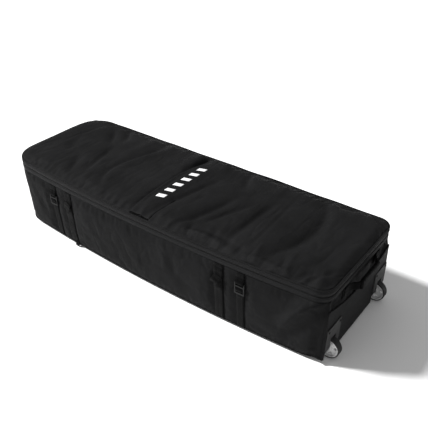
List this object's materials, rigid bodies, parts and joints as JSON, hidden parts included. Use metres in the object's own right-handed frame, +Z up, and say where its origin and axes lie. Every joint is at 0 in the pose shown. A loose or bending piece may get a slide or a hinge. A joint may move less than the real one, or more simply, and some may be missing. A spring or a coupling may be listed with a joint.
{
  "type": "wheeled board bag",
  "caption": "Long soft-sided travel bag for boards, with a zipped lid that hinges open, wheels at one end, a grab handle and side compression straps.",
  "frame": {"origin": "on the ground, under the middle of the whole bag", "axes": "+X from the rounded head end to the wheel end, +Y from the zipped long side to the hinged long side, +Z up"},
  "size_m": [1.5018, 0.5125, 0.3011],
  "materials": {
    "shell_fabric": "black woven polyester, satin",
    "foam": "closed-cell foam inside the walls",
    "lining": "thin dark grey lining cloth",
    "board": "stiffening sheet in the base",
    "kick_fabric": "coated smooth cloth",
    "binding": "folded binding over piping",
    "zip_tape": "knitted zip tape",
    "zip_coil": "nylon coil",
    "print": "pale reflective print",
    "zip_metal": "black painted zinc",
    "webbing": "ribbed polyester webbing",
    "grip": "padded sleeve round the handle webbing",
    "buckle_plastic": "moulded acetal",
    "housing_plastic": "dark grey moulded plastic",
    "steel": "zinc-plated steel",
    "wheel_rubber": "dark grey urethane tread",
    "hub_plastic": "pale moulded hub"
  },
  "bodies": {
    "tub": {"base_board": "board", "base_lining": "lining", "bottom_piping": "binding", "bottom_skin": "shell_fabric", "corner_piping": "binding", "end_handle_anchors": "webbing", "far_housing_screws": "steel", "far_side_foam": "foam", "far_side_skin": "shell_fabric", "far_strap_lowers": "webbing", "far_strap_uppers": "webbing", "far_wheel_axle": "steel", "far_wheel_housing": "housing_plastic", "head_end_foam": "foam", "head_end_skin": "shell_fabric", "hinge_binding": "binding", "kick_panel": "kick_fabric", "near_housing_screws": "steel", "near_side_foam": "foam", "near_side_skin": "shell_fabric", "near_strap_lowers": "webbing", "near_strap_uppers": "webbing", "near_wheel_axle": "steel", "near_wheel_housing": "housing_plastic", "tub_lining": "lining", "tub_zip_coil": "zip_coil", "tub_zip_tape": "zip_tape", "wheel_end_foam": "foam", "wheel_end_skin": "shell_fabric"},
    "lid": {"lid_skin": "shell_fabric", "lid_foam": "foam", "lid_lining": "lining", "lid_far_gusset": "shell_fabric", "lid_piping": "binding", "lid_zip_tape": "zip_tape", "lid_zip_coil": "zip_coil", "lid_sleeve": "shell_fabric", "lid_print": "print"},
    "near_wheel": {"near_tyre": "wheel_rubber", "near_hub": "hub_plastic", "near_wheel_bearings": "steel"},
    "far_wheel": {"far_tyre": "wheel_rubber", "far_hub": "hub_plastic", "far_wheel_bearings": "steel"},
    "near_slider": {"near_zip_slider": "zip_metal"},
    "far_slider": {"far_zip_slider": "zip_metal"},
    "near_puller": {"near_zip_puller": "zip_metal"},
    "far_puller": {"far_zip_puller": "zip_metal"},
    "end_handle": {"end_handle_webbing": "webbing", "end_handle_grip": "grip"},
    "near_left_lock": {"near_left_ladder_lock": "buckle_plastic"},
    "near_right_lock": {"near_right_ladder_lock": "buckle_plastic"},
    "far_left_lock": {"far_left_ladder_lock": "buckle_plastic"},
    "far_right_lock": {"far_right_ladder_lock": "buckle_plastic"}
  },
  "joints": [
    {"name": "lid_hinge", "type": "hinge", "parent": "tub", "child": "lid", "pos_m": [0, 0.2462, 0.252], "axis": [-1, 0, 0], "range_deg": [0, 160]},
    {"name": "near_wheel_spin", "type": "hinge", "parent": "tub", "child": "near_wheel", "pos_m": [0.7109, -0.15923, 0.04], "axis": [0, 1, 0], "continuous": true},
    {"name": "far_wheel_spin", "type": "hinge", "parent": "tub", "child": "far_wheel", "pos_m": [0.7109, 0.1832, 0.04], "axis": [0, 1, 0], "continuous": true},
    {"name": "near_slider_run", "type": "slide", "parent": "tub", "child": "near_slider", "axis": [0, -1, 0], "range_m": [0, 0.08]},
    {"name": "far_slider_run", "type": "slide", "parent": "tub", "child": "far_slider", "axis": [0, 1, 0], "range_m": [0, 0.08]},
    {"name": "near_puller_flip", "type": "hinge", "parent": "near_slider", "child": "near_puller", "pos_m": [-0.7478, 0.00165, 0.273], "axis": [0, 0, -1], "range_deg": [0, 95]},
    {"name": "far_puller_flip", "type": "hinge", "parent": "far_slider", "child": "far_puller", "pos_m": [-0.7478, 0.01465, 0.273], "axis": [0, 0, 1], "range_deg": [0, 95]},
    {"name": "end_handle_lift", "type": "hinge", "parent": "tub", "child": "end_handle", "pos_m": [0.7173, 0.01198, 0.25], "axis": [0, -1, 0], "range_deg": [0, 60]},
    {"name": "near_left_lock_tilt", "type": "hinge", "parent": "tub", "child": "near_left_lock", "pos_m": [-0.4787, -0.24588, 0.209], "axis": [-1, 0, 0], "range_deg": [0, 45]},
    {"name": "near_right_lock_tilt", "type": "hinge", "parent": "tub", "child": "near_right_lock", "pos_m": [0.4203, -0.24762, 0.209], "axis": [-1, 0, 0], "range_deg": [0, 45]},
    {"name": "far_left_lock_tilt", "type": "hinge", "parent": "tub", "child": "far_left_lock", "pos_m": [-0.4787, 0.2518, 0.209], "axis": [1, 0, 0], "range_deg": [0, 45]},
    {"name": "far_right_lock_tilt", "type": "hinge", "parent": "tub", "child": "far_right_lock", "pos_m": [0.4203, 0.2518, 0.209], "axis": [1, 0, 0], "range_deg": [0, 45]}
  ]
}
